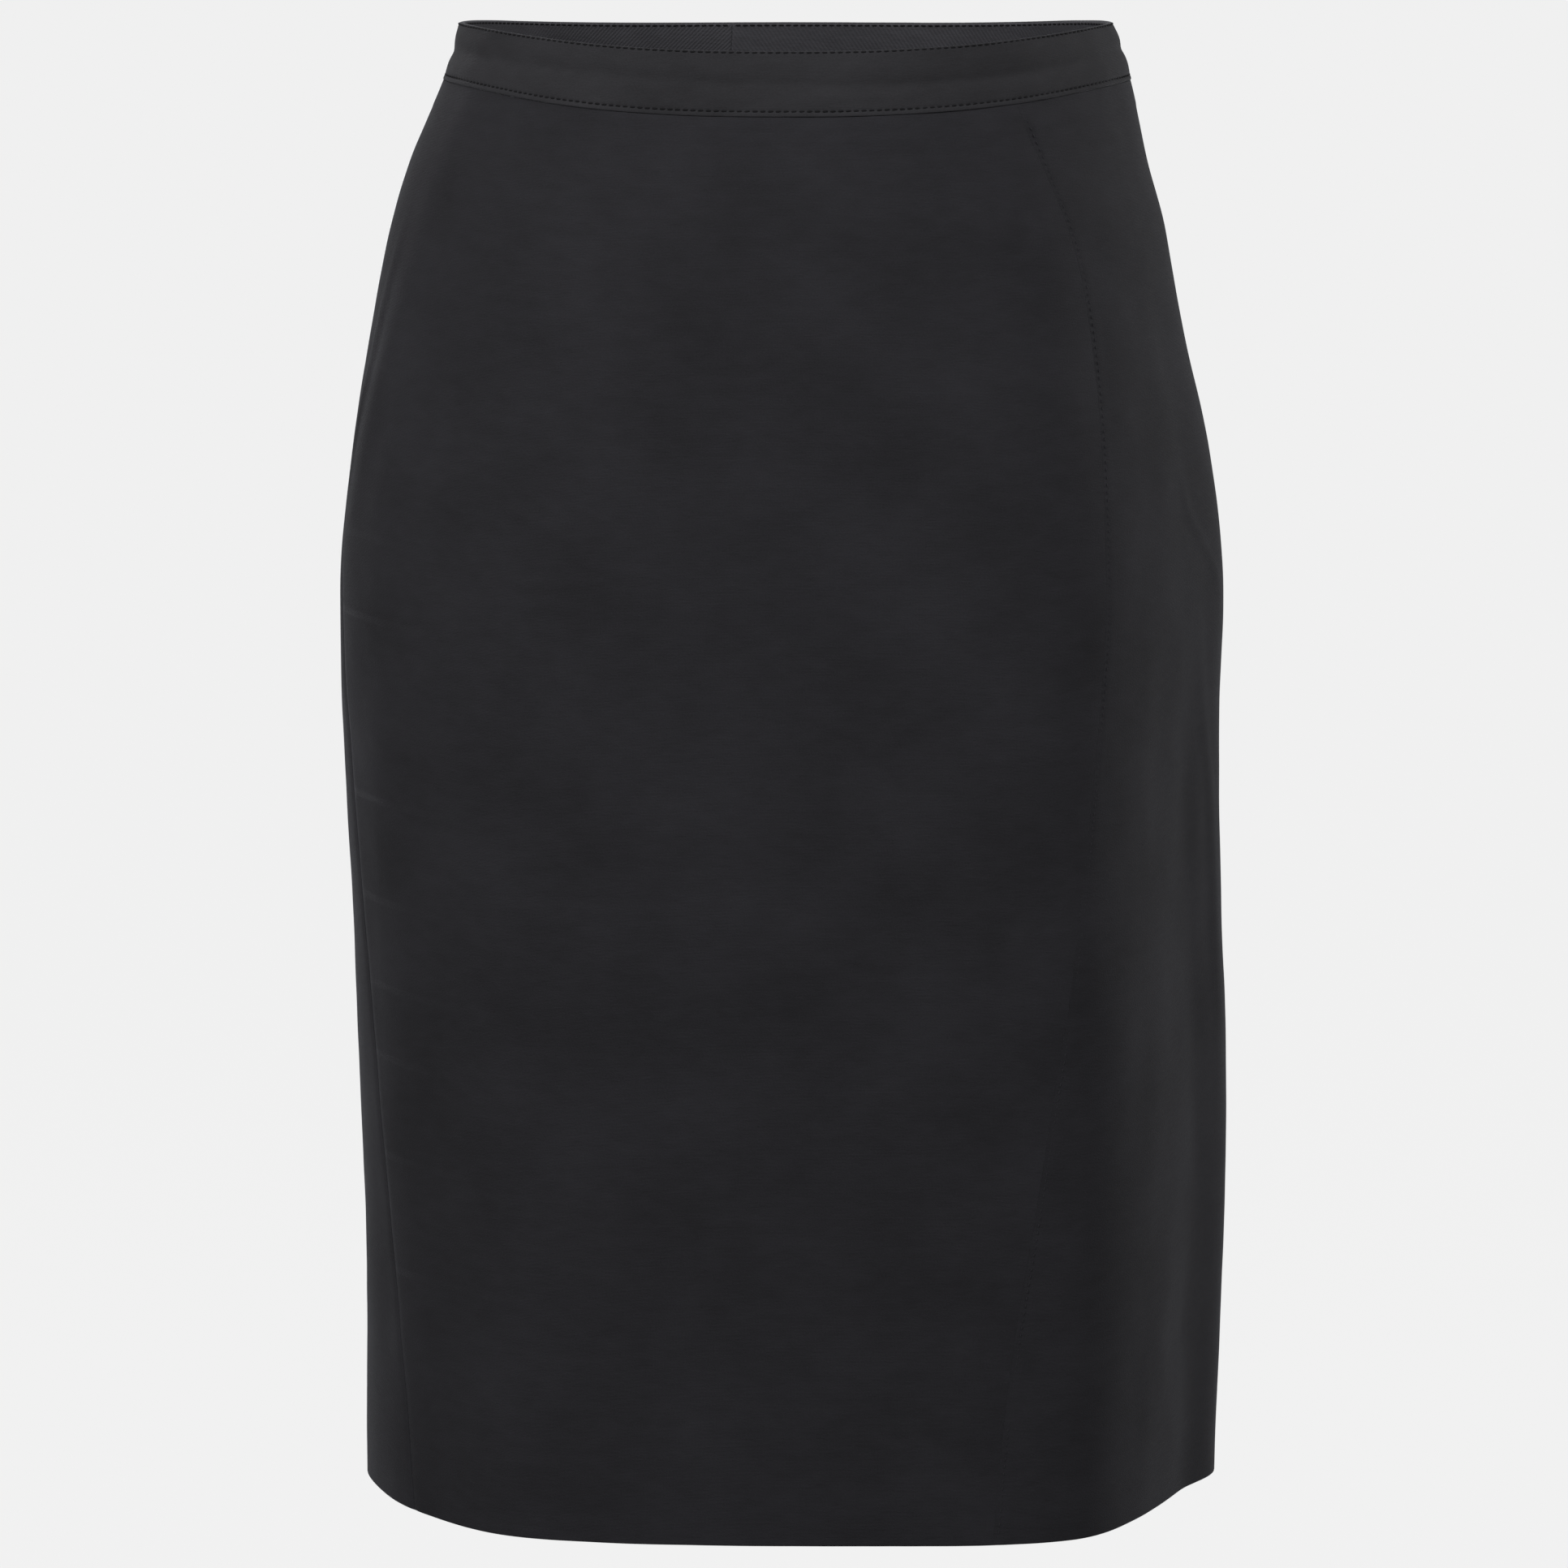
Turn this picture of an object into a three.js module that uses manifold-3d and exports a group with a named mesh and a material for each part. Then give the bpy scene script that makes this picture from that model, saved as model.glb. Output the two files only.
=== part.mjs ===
// A black pencil skirt, filled out as it is when worn, in millimetres with +Z up.
// The origin is the middle of the waist opening, level with the top edge at the sides. The front faces -Y.
// A place on the cloth is a turn in degrees (0 middle of the front, 90 right side, 180 middle of the back,
// -90 left side) and a drop, the height below the origin.
import * as THREE from 'three';
import Module from 'manifold-3d';
import { mergeVertices } from 'three/addons/utils/BufferGeometryUtils.js';

const manifold = await Module();
manifold.setup();

// Lengths down the skirt
const LENGTH = 617.3;
const BAND = { middle: 25.8, side: 23.6, back: 26 };
// How far the top edge dips below its sides, and how sharply it turns up to them
const TOP_DIP = { front: { depth: 6.5, power: 2.3 }, back: { depth: 5, power: 4 } };
const BAND_POWER = 3;
const HEM_TURN_UP = 36;

// Thicknesses and gaps
const CLOTH_WALL = 1.5;
const HEM_WALL = 2.4;
const BAND_WALL = 3;
const BAND_PROUD = 0.6;
const SIDE_PANEL_PROUD = 0.5;
const SEAM_GAP = 0.3;
const BAND_GAP = 0.45;

// Half widths and depths of the skirt at each section, seen from the front and from the side
const SECTIONS = [
  { drop: 0, left: 133.8, right: 135.1, front: 98, back: 96 },
  { drop: 11, left: 136.2, right: 139.4, front: 101, back: 99 },
  { drop: 24, left: 140.7, right: 143.2, front: 104, back: 103 },
  { drop: 40, left: 147.9, right: 146.9, front: 108, back: 108 },
  { drop: 58, left: 155.4, right: 150.9, front: 112, back: 114 },
  { drop: 85, left: 163.5, right: 158.1, front: 116.5, back: 121 },
  { drop: 125, left: 171.6, right: 165.6, front: 120, back: 128 },
  { drop: 176, left: 180, right: 177.3, front: 121.5, back: 134 },
  { drop: 228, left: 185.6, right: 183.7, front: 122, back: 136.5 },
  { drop: 296, left: 185.1, right: 183, front: 122, back: 134 },
  { drop: 366, left: 182.4, right: 184.5, front: 121.5, back: 128.5 },
  { drop: 436, left: 180.1, right: 187.5, front: 120.5, back: 122 },
  { drop: 507, left: 178.1, right: 187.4, front: 119.5, back: 116 },
  { drop: 578, left: 178.2, right: 185.5, front: 118.5, back: 111 },
  { drop: LENGTH, left: 178.5, right: 184.5, front: 118, back: 109 },
];

// A quarter of the ring seen from above, from the middle of the front or back to the side, as shares of
// the half width and of the depth: at the front of the waist, at the hem's left and right front, and behind
const PLAN = {
  waist: [
    { turn: 0, across: 0, depth: 1 },
    { turn: 15, across: 0.235, depth: 0.985 },
    { turn: 30, across: 0.455, depth: 0.915 },
    { turn: 45, across: 0.65, depth: 0.77 },
    { turn: 60, across: 0.805, depth: 0.565 },
    { turn: 75, across: 0.928, depth: 0.31 },
    { turn: 90, across: 1, depth: 0 },
  ],
  hemLeft: [
    { turn: 0, across: 0, depth: 1 },
    { turn: 15, across: 0.22, depth: 0.985 },
    { turn: 30, across: 0.44, depth: 0.95 },
    { turn: 45, across: 0.65, depth: 0.86 },
    { turn: 60, across: 0.8, depth: 0.67 },
    { turn: 75, across: 0.925, depth: 0.395 },
    { turn: 90, across: 1, depth: 0 },
  ],
  hemRight: [
    { turn: 0, across: 0, depth: 1 },
    { turn: 15, across: 0.235, depth: 1 },
    { turn: 30, across: 0.46, depth: 0.99 },
    { turn: 45, across: 0.67, depth: 0.9 },
    { turn: 60, across: 0.803, depth: 0.645 },
    { turn: 75, across: 0.912, depth: 0.285 },
    { turn: 90, across: 1, depth: 0 },
  ],
  back: [
    { turn: 0, across: 0, depth: 1 },
    { turn: 15, across: 0.245, depth: 0.98 },
    { turn: 30, across: 0.475, depth: 0.905 },
    { turn: 45, across: 0.68, depth: 0.765 },
    { turn: 60, across: 0.84, depth: 0.555 },
    { turn: 75, across: 0.95, depth: 0.295 },
    { turn: 90, across: 1, depth: 0 },
  ],
};
const PLAN_CHANGE = { from: 0, to: 420 };

// Where each seam lies, by drop
const LEFT_SEAM = [
  { drop: 0, turn: -95 },
  { drop: 150, turn: -90 },
  { drop: 275, turn: -84.5 },
  { drop: 400, turn: -79.4 },
  { drop: 473, turn: -76.2 },
  { drop: 521, turn: -73.6 },
  { drop: 559, turn: -70.8 },
  { drop: LENGTH, turn: -67.6 },
];
const RIGHT_SEAM = [
  { drop: 0, turn: 97 },
  { drop: 230, turn: 99 },
  { drop: LENGTH, turn: 103 },
];
const BACK_SEAM = [
  { drop: 0, turn: 190 },
  { drop: LENGTH, turn: 185 },
];
// The curved seam on the front, as millimetres to the right of the middle
const STYLE_SEAM = [
  { drop: 0, across: 81 },
  { drop: 27, across: 92.5 },
  { drop: 52, across: 103.5 },
  { drop: 84, across: 116.3 },
  { drop: 119, across: 123.7 },
  { drop: 163, across: 128.1 },
  { drop: 211, across: 129.9 },
  { drop: 248, across: 129.6 },
  { drop: 288, across: 126.2 },
  { drop: 329, across: 122.5 },
  { drop: 389, across: 115.8 },
  { drop: 437, across: 108.5 },
  { drop: 485, across: 101.6 },
  { drop: 530, across: 94.5 },
  { drop: 570, across: 89.7 },
  { drop: LENGTH, across: 85.8 },
];

// The largest soft folds: each runs down between two turns and two drops, with its width across and its
// height, which is below zero for a hollow
const FOLDS = [
  { name: 'front hollow', turns: [26, 4], drops: [60, 330], width: 34, height: -1.6 },
  { name: 'front swell', turns: [36, 24], drops: [90, 420], width: 46, height: 1.2 },
  { name: 'left hip ridge', turns: [-74, -84], drops: [90, 215], width: 10, height: 1.4 },
  { name: 'right hip ridge', turns: [76, 80], drops: [180, 500], width: 9, height: 1.2 },
  { name: 'right hip hollow', turns: [62, 66], drops: [170, 400], width: 16, height: -0.5 },
  { name: 'right hem ridge', turns: [69, 66], drops: [440, 612], width: 14, height: 0.8 },
  { name: 'left hem hollow', turns: [-62, -56], drops: [420, 615], width: 20, height: -1.5 },
  { name: 'left back fall', turns: [-128, -120], drops: [200, 610], width: 30, height: -2 },
  { name: 'right back fall', turns: [136, 128], drops: [230, 600], width: 28, height: -1.8 },
  { name: 'back middle swell', turns: [172, 168], drops: [260, 600], width: 40, height: 1.4 },
];

// The concealed zip in the middle of the back, closed. Its tapes are seen from just below the waistband,
// because their tops lie between the band's two layers.
const ZIP = { top: 33, bottom: 214, inset: 0.8, tapeWidth: 24, tapeWall: 0.8 };
const COIL = { width: 5, height: 1.4, shoulder: 0.5 };
const SLIDER = { drop: 15, width: 4.6, length: 9, wall: 1.4, axisHeight: 0.9 };
const BRIDGE = { outer: 2.2, inner: 1.25, width: 1.2 };
const PULL = { top: 0.8, length: 21, width: 5.4, neck: 4.4, wall: 0.9 };
const PULL_WINDOW = { width: 2.3, top: -0.5, end: -3.1 };

// How many columns and rows each wall is made of
const COLUMNS = { frontPanel: 28, sidePanel: 14, backPanel: 16, waistband: 72 };
const ROWS = { panel: 23, zipTape: 20 };
// How far a panel's rows crowd to the top, where the skirt curves most
const ROW_CROWDING = 0.45;
// Columns crowd within this reach of the sides, in degrees, by this much
const SIDE_CROWDING = { reach: 16, extra: 2.2, steps: 240 };
// The waistband's rows, as shares of its height, and how far its edges are softened
const BAND_ROWS = [0, 0.04, 0.5, 0.96, 1];
const SOFT_EDGE = 0.6;
const ROUND_SEGMENTS = 8;

const BLACK_CLOTH = new THREE.MeshStandardMaterial({ color: 0x1b1b1d, roughness: 0.9, metalness: 0 });
const BLACK_TAPE = new THREE.MeshStandardMaterial({ color: 0x161617, roughness: 0.8, metalness: 0 });
const DARK_METAL = new THREE.MeshStandardMaterial({ color: 0x26262a, roughness: 0.4, metalness: 0.6 });

const { degToRad, radToDeg, smoothstep, clamp, lerp: mix } = THREE.MathUtils;

// A column's value in a table, on a smooth curve through its rows
function along(table, key, column, at) {
  const last = table.length - 1;
  const place = clamp(at, table[0][key], table[last][key]);
  let row = 0;
  while (row < last - 1 && place > table[row + 1][key]) row += 1;
  const [start, end] = [table[row], table[row + 1]];
  const span = end[key] - start[key];
  const slope = (index) => {
    const before = table[Math.max(index - 1, 0)];
    const after = table[Math.min(index + 1, last)];
    return ((after[column] - before[column]) / (after[key] - before[key])) * span;
  };
  const t = (place - start[key]) / span;
  const bend = t * t * (3 - 2 * t);
  const lead = t * (1 - t) * (1 - t) * slope(row);
  const tail = t * t * (1 - t) * slope(row + 1);
  return mix(start[column], end[column], bend) + lead - tail;
}

const section = (column, drop) => along(SECTIONS, 'drop', column, drop);
const sideShare = (turn, power) => Math.abs(Math.sin(degToRad(turn))) ** power;
const facesFront = (turn) => Math.cos(degToRad(turn)) > 0;

// A quarter with a row more at either end, so that it runs smoothly into its neighbours
function mirroredQuarter(rows) {
  const [second, beforeLast] = [rows[1], rows[rows.length - 2]];
  return [
    { turn: -second.turn, across: -second.across, depth: second.depth },
    ...rows,
    { turn: 180 - beforeLast.turn, across: beforeLast.across, depth: -beforeLast.depth },
  ];
}
const QUARTERS = {
  waist: mirroredQuarter(PLAN.waist),
  hemLeft: mirroredQuarter(PLAN.hemLeft),
  hemRight: mirroredQuarter(PLAN.hemRight),
  back: mirroredQuarter(PLAN.back),
};

// The ring's shares of half width and depth at a turn
function planShares(turn, drop) {
  const quarter = radToDeg(Math.asin(Math.min(1, Math.abs(Math.sin(degToRad(turn))))));
  const share = (name, column) => along(QUARTERS[name], 'turn', column, quarter);
  if (!facesFront(turn)) return { across: share('back', 'across'), depth: share('back', 'depth') };
  const change = smoothstep(drop, PLAN_CHANGE.from, PLAN_CHANGE.to);
  const hem = Math.sin(degToRad(turn)) > 0 ? 'hemRight' : 'hemLeft';
  return {
    across: mix(share('waist', 'across'), share(hem, 'across'), change),
    depth: mix(share('waist', 'depth'), share(hem, 'depth'), change),
  };
}

// The skirt's outside before its folds
function ringPoint(turn, drop) {
  const { across, depth } = planShares(turn, drop);
  const toRight = Math.sin(degToRad(turn)) > 0;
  const x = toRight ? across * section('right', drop) : -across * section('left', drop);
  const y = facesFront(turn) ? -depth * section('front', drop) : depth * section('back', drop);
  return new THREE.Vector3(x, y, -drop);
}

// The outward direction of a surface given as a function of turn and drop
function outward(surface, turn, drop) {
  const step = 0.4;
  const around = surface(turn + step, drop).sub(surface(turn - step, drop));
  const down = surface(turn, drop + step).sub(surface(turn, drop - step));
  return down.cross(around).normalize();
}

function millimetresPerDegree(turn, drop) {
  const half = 0.5;
  return ringPoint(turn + half, drop).distanceTo(ringPoint(turn - half, drop));
}

// The angle from one turn to another, from -180 to 180
function turnedBy(start, turn) {
  const angle = turn - start;
  return angle - 360 * Math.round(angle / 360);
}

// How far one fold lifts the cloth
function foldHeight(fold, turn, drop) {
  const [startDrop, endDrop] = fold.drops;
  const run = (drop - startDrop) / (endDrop - startDrop);
  if (run <= 0 || run >= 1) return 0;
  const away = turnedBy(mix(...fold.turns, run), turn) * millimetresPerDegree(turn, drop);
  return fold.height * Math.sin(Math.PI * run) * Math.exp(-((away / fold.width) ** 2));
}

// The skirt's outside with its folds
function skirtPoint(turn, drop) {
  const lift = FOLDS.reduce((sum, fold) => sum + foldHeight(fold, turn, drop), 0);
  return ringPoint(turn, drop).addScaledVector(outward(ringPoint, turn, drop), lift);
}

// The cloth's outside moved out, or in where the distance is below zero
function movedOut(turn, drop, distance) {
  return skirtPoint(turn, drop).addScaledVector(outward(skirtPoint, turn, drop), distance);
}

// The waistband's edges, as drops
function topEdge(turn) {
  const dip = facesFront(turn) ? TOP_DIP.front : TOP_DIP.back;
  return dip.depth * (1 - sideShare(turn, dip.power));
}
function bandSeam(turn) {
  const middle = facesFront(turn) ? BAND.middle : BAND.back;
  return topEdge(turn) + mix(middle, BAND.side, sideShare(turn, BAND_POWER));
}

const leftSeam = (drop) => along(LEFT_SEAM, 'drop', 'turn', drop);
const rightSeam = (drop) => along(RIGHT_SEAM, 'drop', 'turn', drop);
const backSeam = (drop) => along(BACK_SEAM, 'drop', 'turn', drop);

// The turn at which the front ring reaches the curved seam
function styleSeam(drop) {
  const across = along(STYLE_SEAM, 'drop', 'across', drop);
  let [low, high] = [0, 90];
  for (let halving = 0; halving < 30; halving += 1) {
    const middle = (low + high) / 2;
    if (ringPoint(middle, drop).x < across) low = middle;
    else high = middle;
  }
  return low;
}

// A closed wall over a grid: pointAt gives the outside and inside points at shares along and down
function wallGeometry(alongShares, downShares, pointAt) {
  const [columns, rows] = [alongShares.length, downShares.length];
  const positions = [];
  for (const face of ['outside', 'inside']) {
    for (const down of downShares) {
      for (const share of alongShares) positions.push(...pointAt(share, down)[face].toArray());
    }
  }
  const index = [];
  const quad = (a, b, c, d) => index.push(a, d, b, b, d, c);
  const outer = (column, row) => row * columns + column;
  const inner = (column, row) => rows * columns + outer(column, row);
  for (let row = 0; row < rows - 1; row += 1) {
    for (let column = 0; column < columns - 1; column += 1) {
      const [right, below] = [column + 1, row + 1];
      quad(outer(column, row), outer(right, row), outer(right, below), outer(column, below));
      quad(inner(right, row), inner(column, row), inner(column, below), inner(right, below));
    }
    const [last, below] = [columns - 1, row + 1];
    quad(inner(0, row), outer(0, row), outer(0, below), inner(0, below));
    quad(outer(last, row), inner(last, row), inner(last, below), outer(last, below));
  }
  for (let column = 0; column < columns - 1; column += 1) {
    const [right, bottom] = [column + 1, rows - 1];
    quad(inner(column, 0), inner(right, 0), outer(right, 0), outer(column, 0));
    quad(outer(column, bottom), outer(right, bottom), inner(right, bottom), inner(column, bottom));
  }
  const geometry = new THREE.BufferGeometry();
  geometry.setAttribute('position', new THREE.Float32BufferAttribute(positions, 3));
  geometry.setIndex(index);
  return geometry;
}

const evenShares = (count) => Array.from({ length: count + 1 }, (_, i) => i / count);

// Columns between two turns, closer together where the skirt rounds its sides
function sideShares(first, last, count) {
  const { reach, extra, steps } = SIDE_CROWDING;
  const nearSide = (turn) => Math.exp(-(((Math.abs(turn) - 90) / reach) ** 2));
  const sums = [0];
  for (let step = 0; step < steps; step += 1) {
    sums.push(sums[step] + 1 + extra * nearSide(mix(first, last, (step + 0.5) / steps)));
  }
  const shareAt = (part) => {
    const wanted = part * sums[steps];
    const step = Math.min(sums.findIndex((sum) => sum > wanted) - 1, steps - 1);
    return (step + (wanted - sums[step]) / (sums[step + 1] - sums[step])) / steps;
  };
  return evenShares(count).map((part) => (part < 1 ? shareAt(part) : 1));
}

const PANEL_ROWS = evenShares(ROWS.panel).map((share) => mix(share, share * share, ROW_CROWDING));

const wallAt = (drop) => (drop > LENGTH - HEM_TURN_UP ? HEM_WALL : CLOTH_WALL);

// The drop at which a panel starts: its turn depends on the drop, so this closes in on it in a few passes
function panelTop(firstSeam, lastSeam, share) {
  let drop = BAND.middle;
  for (let pass = 0; pass < 4; pass += 1) {
    drop = bandSeam(mix(firstSeam(drop), lastSeam(drop), share)) + BAND_GAP;
  }
  return drop;
}

// One cut piece between two seams, from the band's seam to the hem
function panelGeometry(firstSeam, lastSeam, columns, proud = 0) {
  const pointAt = (share, down) => {
    const drop = mix(panelTop(firstSeam, lastSeam, share), LENGTH, down);
    const [first, last] = [firstSeam(drop), lastSeam(drop)];
    const edge = (turn) => SEAM_GAP / 2 / millimetresPerDegree(turn, drop);
    const turn = mix(first + edge(first), last - edge(last), share);
    return {
      outside: movedOut(turn, drop, proud),
      inside: movedOut(turn, drop, proud - wallAt(drop)),
    };
  };
  const columnShares = sideShares(firstSeam(LENGTH / 2), lastSeam(LENGTH / 2), columns);
  return wallGeometry(columnShares, PANEL_ROWS, pointAt);
}

// The waistband, one strip round the waist whose ends meet at the zip, with soft edges
function waistbandGeometry() {
  const pointAt = (share, down) => {
    const seam = backSeam(0);
    const edge = SEAM_GAP / 2 / millimetresPerDegree(seam, 0);
    const turn = mix(seam - 360 + edge, seam - edge, share);
    const drop = mix(topEdge(turn), bandSeam(turn), down);
    const rounding = down === 0 || down === 1 ? SOFT_EDGE : 0;
    return {
      outside: movedOut(turn, drop, BAND_PROUD - rounding),
      inside: movedOut(turn, drop, BAND_PROUD - BAND_WALL + rounding),
    };
  };
  return wallGeometry(evenShares(COLUMNS.waistband), BAND_ROWS, pointAt);
}

// The closed zip's two tapes and its coil, on the inside of the back seam
function zipTapeGeometry() {
  const halfTape = ZIP.tapeWidth / 2;
  const halfCoil = COIL.width / 2;
  const beside = halfCoil + COIL.shoulder;
  const offsets = [-halfTape, -halfTape / 2, -beside, -halfCoil, halfCoil, beside, halfTape / 2, halfTape];
  const alongShares = offsets.map((offset) => (offset + halfTape) / ZIP.tapeWidth);
  const depth = CLOTH_WALL + ZIP.inset;
  const pointAt = (share, down) => {
    const drop = mix(ZIP.top, ZIP.bottom, down);
    const seam = backSeam(drop);
    const offset = mix(-halfTape, halfTape, share);
    const turn = seam + offset / millimetresPerDegree(seam, drop);
    const coil = Math.abs(offset) < beside - COIL.shoulder / 2 ? COIL.height : 0;
    return {
      outside: movedOut(turn, drop, -depth),
      inside: movedOut(turn, drop, -depth - ZIP.tapeWall - coil),
    };
  };
  return wallGeometry(alongShares, evenShares(ROWS.zipTape), pointAt);
}

// A flat shape given a thickness along +Z
function plate(shape, depth) {
  return new THREE.ExtrudeGeometry(shape, { depth, bevelEnabled: false, curveSegments: ROUND_SEGMENTS });
}

function toSolid(geometry) {
  const weldDistance = 1e-4;
  const bare = geometry.clone().deleteAttribute('normal').deleteAttribute('uv');
  const merged = mergeVertices(bare, weldDistance);
  const mesh = new manifold.Mesh({
    numProp: 3,
    vertProperties: new Float32Array(merged.attributes.position.array),
    triVerts: new Uint32Array(merged.index.array),
  });
  return new manifold.Manifold(mesh);
}

function fromSolid(solid) {
  const mesh = solid.getMesh();
  const geometry = new THREE.BufferGeometry();
  geometry.setAttribute('position', new THREE.BufferAttribute(mesh.vertProperties, 3));
  geometry.setIndex(new THREE.BufferAttribute(mesh.triVerts, 1));
  return geometry;
}

// A plate with round ends, from top to bottom in its own upright plane, thick along +Z
function plateShape(topWidth, bottomWidth, top, bottom) {
  const shape = new THREE.Shape();
  const [topRadius, bottomRadius] = [topWidth / 2, bottomWidth / 2];
  shape.absarc(0, top - topRadius, topRadius, 0, Math.PI, false);
  shape.absarc(0, bottom + bottomRadius, bottomRadius, Math.PI, 2 * Math.PI, false);
  return shape;
}

// The slider's body with the bridge that holds the pull tab, lying in the plane z = 0, its outside at +Z
function sliderGeometry() {
  const half = SLIDER.length / 2;
  const body = plate(plateShape(SLIDER.width, SLIDER.width, half, -half), SLIDER.wall);
  const arch = new THREE.Shape();
  const foot = -SLIDER.axisHeight - SLIDER.wall / 2;
  arch.moveTo(BRIDGE.outer, foot);
  arch.absarc(0, 0, BRIDGE.outer, 0, Math.PI, false);
  arch.lineTo(-BRIDGE.outer, foot);
  arch.lineTo(-BRIDGE.inner, foot);
  arch.absarc(0, 0, BRIDGE.inner, Math.PI, 0, true);
  arch.lineTo(BRIDGE.inner, foot);
  const bridge = plate(arch, BRIDGE.width);
  bridge.translate(0, SLIDER.wall + SLIDER.axisHeight, -BRIDGE.width / 2);
  // The arch's height turns from Y to Z, and its length from X to Y
  bridge.applyMatrix4(new THREE.Matrix4().makeBasis(
    new THREE.Vector3(0, 1, 0),
    new THREE.Vector3(0, 0, 1),
    new THREE.Vector3(1, 0, 0),
  ));
  return fromSolid(toSolid(body).add(toSolid(bridge)));
}

// The pull tab hanging from its hinge line, which is the local X axis
function pullGeometry() {
  const outline = plateShape(PULL.neck, PULL.width, PULL.top, PULL.top - PULL.length);
  const half = PULL_WINDOW.width / 2;
  const hole = new THREE.Path();
  hole.moveTo(-half, PULL_WINDOW.top);
  hole.lineTo(half, PULL_WINDOW.top);
  hole.lineTo(half, PULL_WINDOW.end);
  hole.lineTo(-half, PULL_WINDOW.end);
  hole.closePath();
  outline.holes.push(hole);
  return plate(outline, PULL.wall).translate(0, 0, -PULL.wall / 2);
}

function named(name, geometry, material) {
  const mesh = new THREE.Mesh(geometry, material);
  mesh.name = name;
  return mesh;
}

// A frame standing on the band over the back seam: X along the band, Y up, Z out
function zipFrame() {
  const turn = backSeam(0);
  const out = outward(skirtPoint, turn, SLIDER.drop);
  const across = new THREE.Vector3(0, 0, 1).cross(out).normalize();
  const up = out.clone().cross(across);
  const group = new THREE.Group();
  group.applyMatrix4(new THREE.Matrix4().makeBasis(across, up, out));
  group.position.copy(movedOut(turn, SLIDER.drop, BAND_PROUD + SEAM_GAP));
  return group;
}

function zipGroup() {
  const group = zipFrame();
  const pull = named('zip_pull', pullGeometry(), DARK_METAL);
  pull.position.set(0, 0, SLIDER.wall + SLIDER.axisHeight);
  group.add(named('zip_slider', sliderGeometry(), DARK_METAL), pull);
  return group;
}

const backSeamBefore = (drop) => backSeam(drop) - 360;
const frontPanel = panelGeometry(leftSeam, styleSeam, COLUMNS.frontPanel);
const sidePanel = panelGeometry(styleSeam, rightSeam, COLUMNS.sidePanel, SIDE_PANEL_PROUD);
const backRightPanel = panelGeometry(rightSeam, backSeam, COLUMNS.backPanel);
const backLeftPanel = panelGeometry(backSeamBefore, leftSeam, COLUMNS.backPanel);

const skirt = new THREE.Group();
skirt.add(
  named('waistband', waistbandGeometry(), BLACK_CLOTH),
  named('front_panel', frontPanel, BLACK_CLOTH),
  named('front_side_panel', sidePanel, BLACK_CLOTH),
  named('back_right_panel', backRightPanel, BLACK_CLOTH),
  named('back_left_panel', backLeftPanel, BLACK_CLOTH),
  named('zip_tape', zipTapeGeometry(), BLACK_TAPE),
  zipGroup(),
);

export default skirt;
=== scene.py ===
"""A black pencil skirt, filled out as it is when worn: its looks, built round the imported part.

Places are given as in the part's source: a turn in degrees (0 middle of the front, 90 right side,
180 middle of the back, -90 left side) and a drop in millimetres below the waist. Meshes are made in
millimetres and scaled to metres as they are written. Left and right are as one looks at the front.
"""

import bpy
import numpy as np
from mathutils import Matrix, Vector


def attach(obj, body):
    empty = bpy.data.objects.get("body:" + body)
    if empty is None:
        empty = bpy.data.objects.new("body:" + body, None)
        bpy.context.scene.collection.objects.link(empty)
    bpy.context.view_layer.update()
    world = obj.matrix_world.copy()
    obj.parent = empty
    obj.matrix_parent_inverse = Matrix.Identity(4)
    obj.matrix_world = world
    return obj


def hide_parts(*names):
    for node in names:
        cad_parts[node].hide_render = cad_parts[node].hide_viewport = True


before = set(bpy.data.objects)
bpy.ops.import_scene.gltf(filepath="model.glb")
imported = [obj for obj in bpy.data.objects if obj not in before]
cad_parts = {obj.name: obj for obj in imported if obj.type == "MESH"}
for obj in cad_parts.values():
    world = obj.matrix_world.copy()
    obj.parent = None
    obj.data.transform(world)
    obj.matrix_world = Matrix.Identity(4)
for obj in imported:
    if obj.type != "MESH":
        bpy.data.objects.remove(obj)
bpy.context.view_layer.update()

MM = 0.001

# Camera

CAMERA_PLACE = (0, -2.7, 0.1377)
CAMERA_TARGET = (0, 0, -0.3193)
CAMERA_LENS = 149.24
SENSOR_WIDTH = 36


def aim(obj, target):
    direction = Vector(target) - obj.location
    obj.rotation_euler = direction.to_track_quat("-Z", "Y").to_euler()


def add_camera():
    data = bpy.data.cameras.new("camera")
    data.lens = CAMERA_LENS
    data.sensor_width = SENSOR_WIDTH
    camera = bpy.data.objects.new("camera", data)
    camera.location = CAMERA_PLACE
    aim(camera, CAMERA_TARGET)
    bpy.context.collection.objects.link(camera)
    bpy.context.scene.camera = camera


add_camera()
bpy.context.scene.view_settings.view_transform = "Standard"

# Sizes, the same as the solids have

LENGTH = 617.3
BAND = {"middle": 25.8, "side": 23.6, "back": 26}
TOP_DIP = {"front": (6.5, 2.3), "back": (5, 4)}
BAND_POWER = 3
HEM_TURN_UP = 36
BAND_PROUD = 0.5


def table(names, *rows):
    columns = np.array(rows, dtype=float).T
    return dict(zip(names.split(), columns))


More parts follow.
